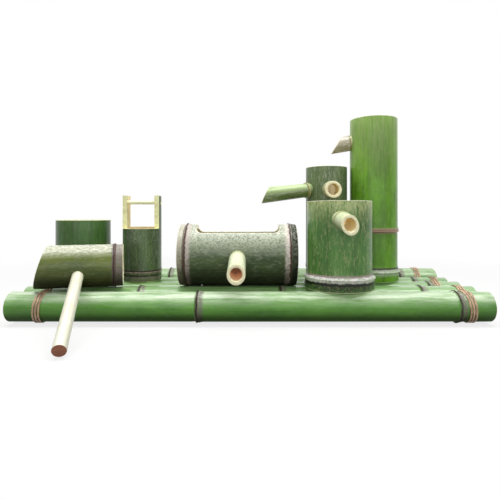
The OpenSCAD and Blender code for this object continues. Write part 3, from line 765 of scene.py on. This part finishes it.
class FOUNTAIN_OT_raft(PieceOperator, bpy.types.Operator):
    """Build the five poles of the raft, with their nodes, septa, drains and driver holes"""
    bl_idname = "fountain.raft"
    bl_label = "Raft poles"

    def execute(self, context):
        look = context.scene.fountain_raft
        for index, heights in enumerate(POLE_NODES):
            node = "raft_pole_%d" % (index + 1)
            low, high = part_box(node)
            nodes = [at * MM for at in heights]
            radius = (high.z - low.z) / 2 - look.ridge
            inner = radius - look.wall
            middle = Vector((0.0, (low.y + high.y) / 2, (low.z + high.z) / 2))
            place = axis_place(middle, 90)
            half = look.length / 2
            outline = outline_along((radius, -half), (radius, half), nodes, look.ridge)
            bm = culm_tube(outline, inner, nodes, 0.35 * MM, index * 3.7, 72)
            chambers, holes = bmesh.new(), bmesh.new()
            for start, end in zip(nodes, nodes[1:]):
                rod_cutter(chambers, inner, start + SEPTUM / 2, end - SEPTUM / 2, place, BORE)
                drain = Matrix.Translation(middle + Vector((start + DRAIN_FROM_NODE, 0, 0)))
                rod_cutter(holes, DRAIN_R, -radius - 2 * MM, -radius / 2, drain)
            for x, pole, tilt in SCREWS:
                if pole == index:
                    screw = leaning(middle + Vector((x * MM, 0, 0)), tilt)
                    rod_cutter(holes, DRIVER_R, -radius - 4 * MM, -radius / 2, screw)
                    rod_cutter(holes, SCREW_R, radius / 2, radius + 3 * MM, screw)
            rings = [Ring(at, look.scar, 1.7, (0.20, 0.15, 0.15), 11, 0.85, 4) for at in heights]
            # top paints each pole's upper faces with bloom and a painted highlight, and its lower
            # faces with painted shade
            materials = bamboo_materials(
                node, place, look, index * 1.7, bloom=-0.12, blotches=POLE_BLOTCHES[index],
                grain=0.55, top=(0.15, 0.85, POLE_TOP_BLOOM_AND_HIGHLIGHT[index]), mottle=(150, 16, 0.3),
                rings=rings, gloss=POLE_GLOSS[index], specks=0.06)
            settle(tube_piece(node + "_bamboo", bm, place, materials, chambers, holes),
                   "fountain", "pole_skin", node)
        return {"FINISHED"}


class FOUNTAIN_OT_lashings(PieceOperator, bpy.types.Operator):
    """Round off the two rattan lashings and give their strips a fibrous finish"""
    bl_idname = "fountain.lashings"
    bl_label = "Rattan lashings"

    def execute(self, context):
        look = context.scene.fountain_lashing
        material, tree = new_material("rattan_strip")
        vector = tree.add("TexCoord").outputs["Object"]
        grain = tree.noise(tree.add("Mapping", {"Vector": vector, "Scale": (1500, 60, 60)})
                           .outputs[0], detail=3)
        worn = tree.noise(vector, 75, detail=5, rough=0.65)
        colour = tree.mix(tree.step(grain, 0.38, 0.68), look.pale, look.dark)
        colour = tree.mix(tree.step(worn, 0.42, 0.72), colour,
                          tree.tinted(colour, (0.38, 0.32, 0.28)))
        finish_surface(tree, colour, 0.5, grain, strength=0.6)
        for side in ("left", "right"):
            node = "lashing_" + side
            bm = bmesh.new()
            bm.from_mesh(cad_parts[node].data)
            bmesh.ops.remove_doubles(bm, verts=bm.verts, dist=2e-6)
            bmesh.ops.join_triangles(bm, faces=bm.faces, angle_face_threshold=0.9,
                                     angle_shape_threshold=3.1)
            piece = make_object(node + "_rattan", bm, [material])
            smooth = piece.modifiers.new("round", "SUBSURF")
            smooth.levels = smooth.render_levels = 2
            settle(piece, "fountain", "rattan", node)
        return {"FINISHED"}


def foot_of(node):
    """The middle of a standing CAD node's foot."""
    low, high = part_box(node)
    return Vector(((low.x + high.x) / 2, (low.y + high.y) / 2, low.z))


def half_width(node):
    low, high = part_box(node)
    return (high.x - low.x) / 2


def standing_culm(node, look, slot, radius, nodes, seeds, body="fountain", foot=None,
                  shoulder=None, proud=1 * MM, uneven=0.4 * MM, cutters=(), **skin):
    """A culm on its foot, with a septum in its last node. foot is its radius below the
    shoulder, seeds are those of its shape and its skin, and skin goes to bamboo_materials."""
    low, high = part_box(node)
    place = axis_place(foot_of(node))
    materials = bamboo_materials(node, place, look, seeds[1], **skin)
    outline = outline_along((foot or radius, 0.0), (radius, high.z - low.z), nodes, proud,
                            shoulder)
    bm = culm_tube(outline, radius - look.wall, nodes[-1:], uneven, seeds[0])
    settle(tube_piece(node + "_bamboo", bm, place, materials, *cutters), body, slot, node)


def culm_holes(node, screws, *spouts):
    """Cutters for a culm's screw holes and for the holes that these spouts are pushed into."""
    bm = bmesh.new()
    for spout in spouts:
        rod_cutter(bm, SPOUT_R[spout] * MM + PLAY, -14 * MM, 9 * MM, SPOUT_PLACES[spout])
    for x, pole, _ in screws:
        place = Matrix.Translation((x * MM, POLE_Y[pole] * MM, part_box(node)[0].z))
        rod_cutter(bm, SCREW_R, -1 * MM, SCREW_DEPTH, place)
    return bm


class FOUNTAIN_OT_tall_culm(PieceOperator, bpy.types.Operator):
    """Build the tall culm that the water rises in"""
    bl_idname = "fountain.tall_culm"
    bl_label = "Tall culm"

    def execute(self, context):
        look = context.scene.fountain_tall
        holes = culm_holes("tall_culm", TALL_SCREWS, "tall_spout")
        inlet = leaning(Vector((TALL[0], TALL[1] + TALL_R, INLET_HEIGHT)) * MM, 90)
        rod_cutter(holes, INLET_HOLE_R * MM, -14 * MM, 3 * MM, inlet)
        rings = [Ring(89.3, (0.40, 0.26, 0.20), 3.8, (0.10, 0.10, 0.035), -6, 0.8, 1),
                 Ring(23.2, (0.04, 0.03, 0.02), 1.5, (0.58, 0.57, 0.55), -13, 0.8, 3)]
        radius = TALL_R * MM
        standing_culm("tall_culm", look, "fresh_bamboo", radius, [17 * MM, 89 * MM], (2.0, 2.3),
                      foot=44 * MM, shoulder=(radius, 30 * MM), proud=3 * MM, uneven=0.5 * MM,
                      cutters=[holes], bloom=-0.2, blotches=1.0, grain=0.6,
                      fade=(0.15, 0.30, 0.50), rings=rings, gloss=0.15, specks=0.16)
        return {"FINISHED"}


class FOUNTAIN_OT_medium_culm(PieceOperator, bpy.types.Operator):
    """Build the medium culm, which has a spout to the side and one to the front"""
    bl_idname = "fountain.medium_culm"
    bl_label = "Medium culm"

    def execute(self, context):
        look = context.scene.fountain_medium
        holes = culm_holes("medium_culm", MEDIUM_SCREWS, "medium_side_spout",
                           "medium_front_spout")
        standing_culm("medium_culm", look, "weathered_bamboo", MEDIUM_R * MM, [24 * MM],
                      (4.0, 5.1), cutters=[holes], bloom=0.0, blotches=0.8, grain=0.7,
                      fade=(0.08, 0.20, 0.12), gloss=0.1, specks=0.4,
                      rings=[Ring(24, BROWN_SCAR, 1.2, WHITE_WAX, -7, 0.6, 2)])
        return {"FINISHED"}


class FOUNTAIN_OT_front_culm(PieceOperator, bpy.types.Operator):
    """Build the wide front culm, flared at its foot"""
    bl_idname = "fountain.front_culm"
    bl_label = "Front culm"

    def execute(self, context):
        look = context.scene.fountain_front
        holes = culm_holes("front_culm", FRONT_SCREWS, "front_spout")
        rings = [Ring(23.8, (0.34, 0.26, 0.24), 1.2, (0.80, 0.77, 0.73), -11.5, 0.95, 4),
                 Ring(11.8, (0.006, 0.004, 0.004), 2, (0.02, 0.014, 0.010), -11, 0.85, 5)]
        radius = FRONT_R * MM
        standing_culm("front_culm", look, "deep_bamboo", radius, [19 * MM], (6.0, 8.4),
                      foot=55.5 * MM, shoulder=(radius, 31 * MM), proud=1.5 * MM,
                      cutters=[holes], bloom=-0.1, blotches=0.75, grain=0.75,
                      fade=(0.10, 0.139, 0.75), mottle=(300, 80, 0.0), rings=rings,
                      cut=(1.0, 1.0, 0.72), gloss=0.25, specks=0.4)
        return {"FINISHED"}


class FOUNTAIN_OT_cup(PieceOperator, bpy.types.Operator):
    """Build the loose cup"""
    bl_idname = "fountain.cup"
    bl_label = "Cup"

    def execute(self, context):
        standing_culm("cup", context.scene.fountain_cup, "deep_bamboo",
                      half_width("cup") - 1 * MM, [16 * MM], (9.0, 11.9), "cup",
                      uneven=0.5 * MM, bloom=-0.2, blotches=0.7, grain=0.8,
                      rings=[Ring(16, BROWN_SCAR, 1.2, WHITE_WAX, -6, 0.6, 2)],
                      cut=(0.80, 0.85, 0.52), gloss=0.2, specks=0.1)
        return {"FINISHED"}


class FOUNTAIN_OT_drum(PieceOperator, bpy.types.Operator):
    """Build the drum, a culm on its side with its top cut open"""
    bl_idname = "fountain.drum"
    bl_label = "Drum"

    def execute(self, context):
        look = context.scene.fountain_drum
        low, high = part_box("drum")
        half = (high.x - low.x) / 2
        proud = 2.3 * MM
        radius = (high.y - low.y) / 2 - proud
        middle = Vector(((low.x + high.x) / 2, (low.y + high.y) / 2, low.z + radius + proud))
        place = axis_place(middle, 90)
        node_at = half - look.skirt
        inner = radius - look.wall
        outline = outline_along((radius, -half), (radius, half), [-node_at, node_at], proud)
        bm = culm_tube(outline, inner, [-node_at, node_at], 0.4 * MM, 1.0, 128)
        chamber = bmesh.new()
        rod_cutter(chamber, inner, SEPTUM / 2 - node_at, node_at - SEPTUM / 2, place, BORE)
        holes = culm_holes("drum", (), "drum_spout")
        floor = middle + Vector((-look.mouth / 2, -1.2 * radius, radius - look.mouth_depth))
        block_cutter(holes, floor, middle + Vector((look.mouth / 2, 1.2 * radius, 2 * radius)),
                     rounded=9 * MM)
        for x, pole, tilt in DRUM_SCREWS:
            rod_cutter(holes, SCREW_R, 23 * MM, 31 * MM,
                       leaning(Vector((x, POLE_Y[pole], POLE_Z)) * MM, tilt))
        edge, dark = node_at / MM, (0.10, 0.05, 0.045)
        rings = [Ring(-edge, dark, 1.6, (0.56, 0.48, 0.44), 9.5, 0.95, 6),
                 Ring(edge, dark, 1.6, (0.82, 0.72, 0.66), -9.5, 0.95, 6),
                 Ring(edge + 3, (0.03, 0.03, 0.02), 0.6, (0.012, 0.014, 0.010), 12, 1.0, 3),
                 Ring(-edge - 3, dark, 0.4, (0.56, 0.50, 0.40), -11, 0.75, 3)]
        # top paints the drum's upper faces with its white bloom, partly real and partly a painted
        # highlight, and its lower faces with painted shade
        materials = bamboo_materials(
            "drum", place, look, 14.2, bloom=-0.12, blotches=0.8, grain=0.65,
            top=(-0.1, 0.8, 0.95), mottle=(400, 330, 0.2), rings=rings, gloss=0.2,
            bore_tone=(0.94, 0.93, 0.80), bore_dark=(0.80, 0.74, 0.52), cut=(1.0, 1.0, 0.84))
        settle(tube_piece("drum_bamboo", bm, place, materials, chamber, holes), "fountain",
               "drum_bamboo", "drum")
        return {"FINISHED"}


def spout_skin(node, place, tone, dark, seed, root, specks):
    """A branch painted paler where it looks up and darker where it looks down, as painted light
    and shade, with a greenish ring at its root.
    """
    material, tree = new_material(node + "_skin")
    vector = place_vector(tree, place)
    painted_shade_tone = tuple(channel * 0.72 for channel in dark)
    # fresh here is painted light and shade: the dimmed dark colour where the branch looks down,
    # the tube's colour where it looks up
    fresh = tree.mix(tree.step(tree.upward(), -0.3, 0.85), painted_shade_tone, tone)
    peel = tree.group("Bamboo skin", Vector=vector, Fresh=fresh, Deep=dark,
                      Bloom=(0.86, 0.86, 0.72), Blotches=0.75, Grain=0.4, Bloom_amount=-0.2,
                      Specks=specks, Seed=seed)
    ring = tree.group("Bamboo node", Vector=vector, Color=peel["Color"], Place=root,
                      Scar=(0.26, 0.24, 0.08), Wax=(0.60, 0.62, 0.30), Wax_width=-5 * MM,
                      Wax_amount=0.8, Ragged=1 * MM)
    finish_surface(tree, ring["Color"], peel["Roughness"], peel["Height"], Coat_Weight=0.15,
                   Coat_Roughness=0.3)
    return material


class FOUNTAIN_OT_spouts(PieceOperator, bpy.types.Operator):
    """Build the five branch spouts that are pushed into the culms and the drum"""
    bl_idname = "fountain.spouts"
    bl_label = "Spouts"

    def execute(self, context):
        look = context.scene.fountain_spout
        rows = (  # node, length, culm wall, slant, colour of its upper side, darker colour of its blotches that is dimmed for its painted shade underneath, slot, bore
            ("tall_spout", 37, 7, 40, look.waxy, (0.48, 0.43, 0.27), "waxy_spout", look.pith),
            ("medium_side_spout", 98, 6.5, 40, look.green, (0.15, 0.22, 0.06), "green_spout",
             (0.56, 0.62, 0.26)),
            ("medium_front_spout", 22, 6.5, 12, look.cream, (0.55, 0.52, 0.28), "pale_spout",
             (0.92, 0.76, 0.42)),
            ("front_spout", 36, 7, 27, look.cream, (0.50, 0.58, 0.30), "pale_spout", look.pith),
            ("drum_spout", 70, 7, 27, look.cream, (0.55, 0.62, 0.38), "pale_spout",
             (1.0, 0.62, 0.36)),
        )
        for index, (node, length, wall, slant, tone, dark, slot, pith) in enumerate(rows):
            radius, length = SPOUT_R[node] * MM, length * MM
            place = SPOUT_PLACES[node]
            start, past = -wall * MM - look.inside, length + 1 * MM
            if node == "medium_side_spout":
                lip, roll, root = radius + 1.5 * MM, 40, 6.4 * MM
                collar = radius + 2 * MM
                outline = [(radius, start), (radius, 2.5 * MM), (collar - 0.6 * MM, 2.6 * MM),
                           (collar, 3.4 * MM), (collar, 6.2 * MM), (radius + 0.6 * MM, 7.0 * MM),
                           (radius + 0.1 * MM, 9.0 * MM), (lip, past)]
            else:
                lip, roll, root = radius, 0, 1.0 * MM
                outline = [(radius, start), (radius, 0.0), (radius, past)]
            bm = hollow_tube(outline, [(radius - look.wall, None, None)], steps=64,
                             slant=slant_plane(lip, length, slant, 1, roll))
            skin = spout_skin(node, place, tone, dark, index * 2.9 + 1, root,
                              0.7 if node == "tall_spout" else 0.2)
            bore = bore_material(node + "_bore", place, pith,
                                 tuple(channel * 0.9 for channel in pith), 0.1,
                                 (length, look.cut))
            materials = [skin, cut_material(node + "_cut", look.cut, (0.48, 0.34, 0.16), 0.4),
                         bore]
            settle(tube_piece(node + "_branch", bm, place, materials), "fountain", slot, node)
        return {"FINISHED"}


class FOUNTAIN_OT_bucket(PieceOperator, bpy.types.Operator):
    """Build the bucket with its two ears, and the crossbar between them"""
    bl_idname = "fountain.bucket"
    bl_label = "Bucket"

    def execute(self, context):
        look = context.scene.fountain_bucket
        foot = foot_of("bucket")
        radius = half_width("bucket") - 1 * MM
        holes = bmesh.new()
        for side in (-1, 1):    # the rim's cut falls a little to the front
            rim = foot.z + look.rim + side * 1.25 * MM
            near, far = sorted((foot.y + side * look.ear_width / 2, foot.y + side * 1.2 * radius))
            block_cutter(holes, (foot.x - 2 * radius, near, rim),
                         (foot.x + 2 * radius, far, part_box("bucket")[1].z + 20 * MM))
        bar = axis_place(foot + Vector((0, 0, look.crossbar_height)), 90)
        rod_cutter(holes, look.crossbar / 2 + PLAY, -2 * radius, 2 * radius, bar)
        rings = [Ring(18.5, (0.05, 0.035, 0.035), 1.3, (0.42, 0.31, 0.28), -5, 0.8, 3),
                 Ring(10, (0.03, 0.02, 0.02), 1, (0.22, 0.20, 0.15), -10, 0.7, 6)]
        standing_culm("bucket", look, "weathered_bamboo", radius, [17 * MM], (12.0, 17.7),
                      "bucket", cutters=[holes], bloom=0.04, blotches=0.85, grain=0.7,
                      rings=rings, gloss=0.15, bore_tone=(0.92, 0.86, 0.50),
                      bore_dark=(0.80, 0.55, 0.28), cut=(1.0, 1.0, 0.56))
        reach, rod = radius - 1.5 * MM, look.crossbar / 2
        bm = hollow_tube([(rod, -reach), (rod, 0.0), (rod, reach)], [], steps=32)
        peeled = [cut_material("crossbar_skin", (0.98, 1.0, 0.72), (0.62, 0.58, 0.32), 0.12),
                  cut_material("crossbar_cut", CUT_PALE, CUT_FIBRE)]
        settle(tube_piece("bucket_crossbar_rod", bm, bar, peeled), "bucket", "peeled_bamboo",
               "bucket_crossbar")
        return {"FINISHED"}


class FOUNTAIN_OT_ladle(PieceOperator, bpy.types.Operator):
    """Build the ladle, a culm cup with a slanting mouth and a peeled handle"""
    bl_idname = "fountain.ladle"
    bl_label = "Ladle"

    def execute(self, context):
        look = context.scene.fountain_ladle
        radius = look.diameter / 2
        inner = radius - look.wall
        where = Vector(LADLE) * MM
        place = axis_place(where, -90, LADLE_HEADING)
        short_side = 108 * MM    # the straight skin ends here, 5 mm below the slanting cut
        outline = outline_along((radius, 0.0), (radius, short_side), [look.skirt], 2 * MM)
        outline.append((radius, look.length + 3 * MM))
        bm = culm_tube(outline, inner, [look.skirt], 0.3 * MM, 7.0,
                       slant=slant_plane(radius, look.length, math.degrees(look.slant), -1))
        reach = radius + look.handle_out
        rod = look.handle / 2
        droop = math.degrees(math.asin((where.z - rod - 0.2 * MM) / reach))
        handle = (Matrix.Translation(where)
                  @ Matrix.Rotation(math.radians(LADLE_HEADING), 4, "Z")
                  @ axis_place((-LADLE_HANDLE * MM, 0, 0), 90 + droop, -90))
        hole = bmesh.new()
        rod_cutter(hole, rod + PLAY, 5 * MM, radius + 12 * MM, handle)
        edge = look.skirt / MM
        rings = [Ring(edge + 1, (0.08, 0.045, 0.045), 1.4, (0.20, 0.16, 0.14), 3.5, 0.8, 2),
                 Ring(edge - 1, (0.12, 0.07, 0.07), 1, (0.23, 0.19, 0.175), -16, 1.0, 3)]
        # top paints the cup's upper faces with its pinkish white, mostly a painted highlight, and
        # its lower faces with painted shade
        materials = bamboo_materials("ladle_cup", place, look, 20.3, bloom=-0.12, blotches=0.7,
                                     grain=0.6, top=(0.38, 0.98, 0.80), mottle=(300, 170, 0.3),
                                     rings=rings, gloss=0.25, specks=0.07)
        settle(tube_piece("ladle_cup_bamboo", bm, place, materials, hole), "ladle",
               "olive_bamboo", "ladle_cup")

        inside = math.sqrt(inner * inner - rod * rod) - 0.2 * MM
        bm = hollow_tube([(rod, -inside), (rod, 0.0), (rod, reach)], [], steps=48)
        skin, tree = new_material("ladle_handle_skin")
        peel = tree.group("Bamboo skin", Vector=place_vector(tree, handle), Fresh=look.peeled,
                          Deep=(0.72, 0.66, 0.42), Bloom=(0.9, 0.89, 0.78), Blotches=0.5,
                          Grain=0.35, Bloom_amount=0.1, Seed=30.0)
        finish_surface(tree, peel["Color"], peel["Roughness"], peel["Height"])
        end = cut_material("ladle_handle_end", (0.34, 0.13, 0.07), (0.12, 0.05, 0.03), 0.6)
        settle(tube_piece("ladle_handle_rod", bm, handle, [skin, end]), "ladle",
               "peeled_bamboo", "ladle_handle")
        return {"FINISHED"}


class FOUNTAIN_OT_fittings(PieceOperator, bpy.types.Operator):
    """Finish the inlet, its grommet, the riser hose and the hold-down screws"""
    bl_idname = "fountain.fittings"
    bl_label = "Water fittings"

    def execute(self, context):
        look = context.scene.fountain_fitting
        rows = (  # node, colour, roughness, metallic, how fine its wear is
            ("hose_inlet", look.plastic, 0.42, 0.0, 700),
            ("inlet_grommet", look.rubber, 0.75, 0.0, 500),
            ("riser_hose", look.hose, 0.35, 0.0, 260),
            ("hold_down_screws", look.steel, 0.5, 1.0, 900),
        )
        for node, tone, rough, metal, scale in rows:
            material, tree = new_material(node + "_finish")
            vector = tree.add("TexCoord").outputs["Object"]
            wear = tree.noise(vector, scale, detail=4, rough=0.6)
            colour = tree.mix(tree.step(wear, 0.35, 0.75), tone,
                              tuple(min(1.0, channel * 1.35 + 0.01) for channel in tone))
            finish_surface(tree, colour, tree.math("MULTIPLY_ADD", wear, 0.2, rough - 0.1), wear,
                           0.1 * MM, 0.3, Metallic=metal)
            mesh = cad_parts[node].data
            mesh.materials.clear()
            mesh.materials.append(material)
        return {"FINISHED"}


def seen_directly(tree):
    """1 for what the camera sees, also by a mirror or through glass, and 0 for other light."""
    path = tree.add("LightPath").outputs
    seen = tree.math("MAXIMUM", path["Is Camera Ray"], path["Is Glossy Ray"])
    return tree.math("MAXIMUM", seen, path["Is Transmission Ray"])


class FOUNTAIN_OT_stage(PieceOperator, bpy.types.Operator):
    """Set the pale floor, the soft boxes, the white surroundings and the camera"""
    bl_idname = "fountain.stage"
    bl_label = "Stage"

    def execute(self, context):
        look = context.scene.fountain_stage
        bm = bmesh.new()
        bmesh.ops.create_grid(bm, x_segments=1, y_segments=1, size=9.0)
        material, tree = new_material("floor")
        seen = seen_directly(tree)
        paper = tree.add("BsdfDiffuse", {"Color": look.floor}).outputs[0]
        dim = tree.add("BsdfDiffuse", {"Color": (0.14, 0.14, 0.14)}).outputs[0]
        glow = tree.add("Emission", {"Color": (1, 1, 1), "Strength": 1.0}).outputs[0]
        far = tree.add("VectorMath", {0: tree.add("TexCoord").outputs["Object"]},
                       operation="LENGTH").outputs[1]
        shown = tree.add("MixShader", {0: tree.step(far, 0.45, 1.2, 0.78, 1.0), 1: paper,
                                       2: glow}).outputs[0]
        both = tree.add("MixShader", {0: seen, 1: dim, 2: shown}).outputs[0]
        output = tree.add("OutputMaterial")
        tree.tree.links.new(both, output.inputs[0])
        floor = make_object("floor", bm, [material])
        floor.location.z = -0.5 * MM

        world = bpy.data.worlds.new("surroundings")
        context.scene.world = world
        world.use_nodes = True
        tree = Tree(world.node_tree)
        strength = tree.math("MULTIPLY_ADD", seen_directly(tree), 0.66, 0.34)
        sky = tree.add("Background", {"Color": (1, 1, 1), "Strength": strength}).outputs[0]
        output = tree.add("OutputWorld")
        tree.tree.links.new(sky, output.inputs[0])

        aim = Vector((0, 0, 0.08))
        rows = (  # name, power, place, width, depth
            ("overhead_box", look.overhead, (0.0, -0.05, 1.05), 2.0, 0.4),
            ("front_box", look.fill, (0.25, -1.45, 0.45), 2.6, 0.8),
        )
        for name, power, spot, wide, deep in rows:
            data = bpy.data.lights.new(name, "AREA")
            data.shape = "RECTANGLE"
            data.size, data.size_y, data.energy = wide, deep, power
            lamp = bpy.data.objects.new(name, data)
            lamp.location = spot
            lamp.rotation_euler = (aim - lamp.location).to_track_quat("-Z", "Y").to_euler()
            context.scene.collection.objects.link(lamp)

        data = bpy.data.cameras.new("camera")
        data.sensor_width, data.lens, data.shift_y = 36.0, look.lens, -0.07
        camera = bpy.data.objects.new("camera", data)
        camera.location = (0.0, -look.distance, look.height)
        camera.rotation_euler = (math.radians(90), 0, 0)
        context.scene.collection.objects.link(camera)
        context.scene.camera = camera
        context.scene.view_settings.view_transform = "Standard"
        return {"FINISHED"}


OPERATORS = (FOUNTAIN_OT_groups, FOUNTAIN_OT_raft, FOUNTAIN_OT_lashings, FOUNTAIN_OT_tall_culm,
             FOUNTAIN_OT_medium_culm, FOUNTAIN_OT_front_culm, FOUNTAIN_OT_drum,
             FOUNTAIN_OT_spouts, FOUNTAIN_OT_bucket, FOUNTAIN_OT_ladle, FOUNTAIN_OT_cup,
             FOUNTAIN_OT_fittings, FOUNTAIN_OT_stage)


class FOUNTAIN_PT_panel(bpy.types.Panel):
    """Lists the steps that build the fountain"""
    bl_idname = "FOUNTAIN_PT_panel"
    bl_label = "Bamboo fountain"
    bl_space_type = "VIEW_3D"
    bl_region_type = "UI"
    bl_category = "Fountain"

    def draw(self, context):
        for name, settings in SETTINGS.items():
            box = self.layout.box()
            box.label(text=name.replace("_", " ").capitalize())
            for key in settings.__annotations__:
                box.prop(getattr(context.scene, name), key)
        for operator in OPERATORS:
            self.layout.operator(operator.bl_idname)


def register():
    for name, settings in SETTINGS.items():
        bpy.utils.register_class(settings)
        setattr(bpy.types.Scene, name, bpy.props.PointerProperty(type=settings))
    for operator in OPERATORS:
        bpy.utils.register_class(operator)
    bpy.utils.register_class(FOUNTAIN_PT_panel)


def unregister():
    bpy.utils.unregister_class(FOUNTAIN_PT_panel)
    for operator in reversed(OPERATORS):
        bpy.utils.unregister_class(operator)
    for name, settings in SETTINGS.items():
        delattr(bpy.types.Scene, name)
        bpy.utils.unregister_class(settings)


def main():
    register()
    for operator in OPERATORS:
        family, step = operator.bl_idname.split(".")
        getattr(getattr(bpy.ops, family), step)()


if __name__ == "__main__":
    main()
